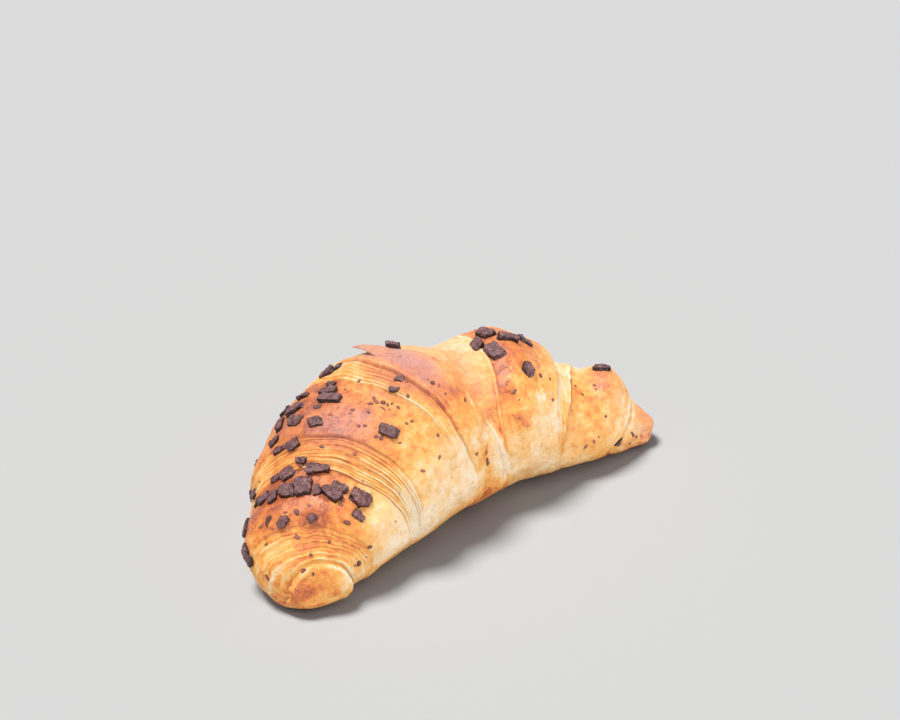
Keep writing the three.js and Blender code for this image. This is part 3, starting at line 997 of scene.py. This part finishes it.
# Where crumbs of chocolate lie on the crust: [along, in thousandths, and angle].
CRUMBS = (
    (-313, 100), (-305, 105), (-308, 107), (-284, 110), (-314, 112), (-283, 115), (-328, 108),
    (-320, 103), (-397, 104), (-456, 104), (-445, 107), (-460, 116), (-451, 119), (-412, 129),
    (-317, 125), (-282, 126), (-274, 85), (-319, 78), (-415, 95), (-425, 95), (-457, 84), (-420, 86),
    (-351, 101), (-301, 109), (-110, 92), (-114, 115), (-107, 117), (-86, 121), (-89, 126), (10, 134),
    (-188, 102), (-197, 108), (-331, 106), (-231, 114), (-546, 110), (-806, 85), (-806, 74), (-821, 46),
    (-786, 129), (-738, 117), (-718, 118), (-782, 61), (-836, 59), (-833, 92), (-785, 39), (-863, 85),
    (-562, 87), (-618, 76), (-778, 93), (-908, 107), (-930, 22), (-821, 172), (-838, 171), (-854, 123),
    (-950, 101), (-952, 119), (-907, 19), (-863, 45), (-866, 86), (-787, 172), (-768, 164), (-401, 152),
    (-260, 154), (-36, 167), (-222, 142), (-596, 168), (286, 131), (311, 142), (483, 124), (529, 123),
    (510, 141), (306, 137), (57, 171), (-28, 167), (71, 180), (681, 115), (701, 125), (800, 149),
    (748, 172), (729, 178), (765, 116), (764, 110), (679, 183), (918, 192), (960, 180), (-200, 40),
    (-350, 30), (-500, 35), (-620, 30), (-100, 50), (100, 60), (350, 60), (500, 50), (660, 70),
    (800, 60), (420, 30), (0, 30), (-750, 15), (-300, 10), (200, 20),
)

# Larger flat chips: [along, angle, half length, half width, half height].
CHIPS = (
    (0.054, 177, 1.9, 0.9, 0.35),
    (-0.821, 172, 1.1, 0.9, 0.6),
    (-0.806, 85, 1.2, 0.8, 0.4),
    (-0.107, 117, 1.0, 0.8, 0.4),
    (-0.305, 105, 1.1, 0.8, 0.5),
    (0.483, 124, 0.9, 0.7, 0.4),
)
CRUMB_SIZES = (0.3, 0.75)  # half widths
CRUMB_STRETCH = (1.1, 2)  # lengths beside the widths
CRUMB_FLATNESS = 0.3  # height beside the width
CRUMB_MELT = (0.25, 0.85)  # how far they have melted into the crust
CHIP_MELT = 0.2


def crumb_piece(material, grid):
    """Crumbs of chocolate pressed into the crust, as one piece."""
    random = np.random.default_rng(5)
    work = bmesh.new()
    bmesh.ops.create_icosphere(work, subdivisions=2, radius=1)
    ball = np.array([v.co for v in work.verts])
    ball_faces = [tuple(v.index for v in face.verts) for face in work.faces]
    work.free()
    rows = []
    for along, degrees in CRUMBS:
        size = random.uniform(*CRUMB_SIZES)
        stretch = random.uniform(*CRUMB_STRETCH)
        rows.append((along / 1000, degrees, size * stretch, size, size * CRUMB_FLATNESS))
    vertices, faces, painted_top_light = [], [], []
    for number, (along, degrees, long, wide, high) in enumerate(rows + list(CHIPS)):
        x = (grid["along"] - along) * ROLL_LENGTH / 2
        apart = x**2 + ((grid["degrees"] - degrees) / 2) ** 2
        i, j = np.unravel_index(apart.argmin(), apart.shape)
        up = grid["normal"][i, j]
        side = np.cross(up, random.normal(size=3))
        side /= np.linalg.norm(side)
        shape = ball * (1 + 0.3 * lumps(ball, 0.9, number)[:, None]) * (long, wide, high)
        lump = shape @ np.array([side, np.cross(up, side), up])
        faces += [tuple(k + len(ball) * number for k in face) for face in ball_faces]
        vertices.append(grid["points"][i, j] + SHIFT + lump + up * 0.3 * high)
        # Painted light: each crumb's top is lighter than its underside.
        painted_top_light.append(smooth(ball[:, 2], -0.2, 0.9) * 0.8)
    piece = mesh_object("chocolate_crumbs", np.concatenate(vertices), faces, material)
    add_attribute(piece, "painted_top_light", np.concatenate(painted_top_light))
    melted = [random.uniform(*CRUMB_MELT) for _ in rows] + [CHIP_MELT] * len(CHIPS)
    add_attribute(piece, "melted", np.repeat(melted, len(ball)))
    return piece


# ---- the flap's loose corner

# From the flap out over the outer side: [along, angle, height over the plain form, half width].
FLAP_TIP = (
    (-0.12, 84, 0.8, 4.0),
    (-0.12, 78, 1.4, 3.6),
    (-0.123, 73, 1.8, 2.8),
    (-0.127, 69, 2.0, 2.0),
    (-0.131, 65.5, 2.3, 1.3),
    (-0.135, 62.5, 2.5, 0.8),
    (-0.139, 60.5, 2.7, 0.3),
)
FLAP_TIP_THICKNESS = 0.7
FLAP_TIP_RINGS = (26, 14)  # rings of points along it, and points in each
FLAP_TIP_LUMPS = ((0.16, 1.5, 3),)  # [height, size, seed]
FLAP_TIP_TONE = 0.62
FLAP_TIP_MOTTLES = ((0.12, 2.5, 8),)
FLAP_TIP_BLUSH = 0.75


def flap_tip_piece(material):
    """The dough's pointed end, baked loose from the flap."""
    rows = np.array(FLAP_TIP)
    steps, sides = FLAP_TIP_RINGS
    t = np.linspace(0, len(rows) - 1, steps)
    along, degrees, height, half = (np.interp(t, range(len(rows)), column) for column in rows.T)
    turn = np.linspace(0, 2 * np.pi, sides, endpoint=False)
    across = np.cos(turn)
    up = np.sign(np.sin(turn)) * np.abs(np.sin(turn)) ** 0.6
    place = along[:, None] + half[:, None] * across * 2 / ROLL_LENGTH
    angle = degrees[:, None] + 0 * across
    base = plain_roll(place, angle)
    outward = plain_roll(place, angle + 0.5) - plain_roll(place, angle - 0.5)
    forward = plain_roll(place + 0.002, angle) - plain_roll(place - 0.002, angle)
    normal = np.cross(outward, forward)
    normal /= np.linalg.norm(normal, axis=-1, keepdims=True)
    thick = FLAP_TIP_THICKNESS * np.minimum(1, half[:, None] / 1.2) / 2
    points = base + normal * (height[:, None] - 0.12 * half[:, None] * across**2 + thick * up)[..., None]
    points += lumpiness(FLAP_TIP_LUMPS, points)[..., None] * normal
    ends = [tuple(range(sides))[::-1], tuple(range((steps - 1) * sides, steps * sides))]
    flat = points.reshape(-1, 3)
    piece = mesh_object("flap_tip", flat + SHIFT, ends + ring_faces(steps, sides), material)
    work = bmesh.new()
    work.from_mesh(piece.data)
    bmesh.ops.recalc_face_normals(work, faces=work.faces)
    work.to_mesh(piece.data)
    work.free()
    add_attribute(piece, "tone", FLAP_TIP_TONE + lumpiness(FLAP_TIP_MOTTLES, flat))
    add_attribute(piece, "blush", [FLAP_TIP_BLUSH] * len(flat))
    add_attribute(piece, "flow", flat)
    add_attribute(piece, "sheet", flat)
    return piece


# ---- stage, light and camera

VIEW_AZIMUTH = -40.6
VIEW_ELEVATION = 30.7
VIEW_DISTANCE = 800
VIEW_CENTRE = (11.07, 28.32, 20)  # to the right, up the view, and up from the floor
LENS = 89.35

FLOOR_REACH = 6000
FLOOR_COLOUR = (0.68, 0.68, 0.675, 1)
WORLD_COLOUR = (0.9, 0.97, 1.06, 1)
WORLD_STRENGTH = 0.22
BACKDROP_COLOUR = (0.7, 0.71, 0.72, 1)  # what the camera sees past the floor's end

SUN_STRENGTH = 2.85
SUN_COLOUR = (1.0, 0.985, 0.965)
SUN_ANGLE = 20  # degrees across, which softens the shadow
SUN_PLACE = (-0.24, 0.5, 1.5)
# Lamps that light the croissant only: [name, place, size, watts], in metres.
BOXES = (
    ("side_box", (-1.0, -0.5, 0.5), 0.6, 4.6),
    ("back_box", (0.75, 0.85, 0.8), 1.0, 3),
    ("front_box", (0.5, -1.0, 0.3), 0.7, 8),
    ("glint_box", (0.38, -0.18, 1.1), 0.12, 1.5),
    ("crown_glint_box", (-0.06, -0.03, 1.1), 0.1, 0.9),
    ("tip_glint_box", (0.95, -0.72, 0.06), 0.1, 0.6),
)
BOX_TARGET = (0, 0, 0.02)


def stage():
    material, tree, bsdf = node_material("floor")
    set_inputs(tree, bsdf, {"Base Color": FLOOR_COLOUR, "Roughness": 0.9, "Specular IOR Level": 0.1})
    corners = [(x * FLOOR_REACH, y * FLOOR_REACH, 0) for x, y in ((-1, -1), (1, -1), (1, 1), (-1, 1))]
    floor = mesh_object("floor", corners, [(0, 1, 2, 3)], material)


def add_aimed(name, data, place, target):
    """Adds a lamp or camera at a place, turned to face a target."""
    thing = new_object(name, data)
    thing.location = place
    thing.rotation_euler = (Vector(target) - Vector(place)).to_track_quat("-Z", "Y").to_euler()
    return thing


def light_world():
    """A soft sky for light, and an even pale backdrop for the camera."""
    world = bpy.data.worlds.new("studio")
    bpy.context.scene.world = world
    world.use_nodes = True
    tree = world.node_tree
    sky = tree.nodes["Background"]
    set_inputs(tree, sky, {"Color": WORLD_COLOUR, "Strength": WORLD_STRENGTH})
    backdrop = add_node(tree, "ShaderNodeBackground", {"Color": BACKDROP_COLOUR})
    seen = add_node(tree, "ShaderNodeLightPath", {}, "Is Camera Ray")
    both = add_node(tree, "ShaderNodeMixShader", {0: seen, 1: Value(tree, sky.outputs[0]), 2: backdrop})
    set_inputs(tree, tree.nodes["World Output"], {"Surface": both})


def sun():
    data = bpy.data.lights.new("key", "SUN")
    data.energy = SUN_STRENGTH
    data.color = SUN_COLOUR
    data.angle = math.radians(SUN_ANGLE)
    add_aimed("key", data, SUN_PLACE, (0, 0, 0))


def box_lights(pieces):
    """Boxes that light these pieces and not the floor, so that their shadow stays clear."""
    lit = bpy.data.collections.new("lit pieces")
    for piece in pieces:
        lit.objects.link(piece)
    for name, place, size, power in BOXES:
        data = bpy.data.lights.new(name, "AREA")
        data.size = size
        data.energy = power
        lamp = add_aimed(name, data, place, BOX_TARGET)
        lamp.light_linking.receiver_collection = lit


def camera():
    azimuth, elevation = math.radians(VIEW_AZIMUTH), math.radians(VIEW_ELEVATION)
    right = np.array([math.cos(azimuth), math.sin(azimuth), 0])
    away = np.array([math.sin(azimuth), -math.cos(azimuth), 0])
    back = away * math.cos(elevation) + np.array([0, 0, math.sin(elevation)])
    across, up, rise = VIEW_CENTRE
    target = right * across + np.cross(back, right) * up + np.array([0, 0, rise]) + SHIFT
    data = bpy.data.cameras.new("camera")
    data.lens = LENS
    bpy.context.scene.camera = add_aimed("camera", data, (target + back * VIEW_DISTANCE) * MM, target * MM)


# ---- the scene

bpy.context.scene.view_settings.view_transform = "Standard"
camera()
stage()
light_world()
sun()

chunk_nodes = sorted(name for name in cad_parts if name.startswith("chocolate_chunk"))
chunk_centres = [cad_points(name).mean(0) - SHIFT for name in chunk_nodes]

baked = crust_material()
crust, grid = crust_piece(baked, chunk_centres)
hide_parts("croissant")
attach(crust, "root")

chocolate = chocolate_material()
chunks = [chunk_piece(name, number, chocolate, grid) for number, name in enumerate(chunk_nodes)]
for chunk in chunks:
    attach(chunk, "root")

crumbs = crumb_piece(chocolate, grid)
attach(crumbs, "root")

flap_tip = flap_tip_piece(baked)
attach(flap_tip, "root")

box_lights([crust, crumbs, flap_tip, *chunks])
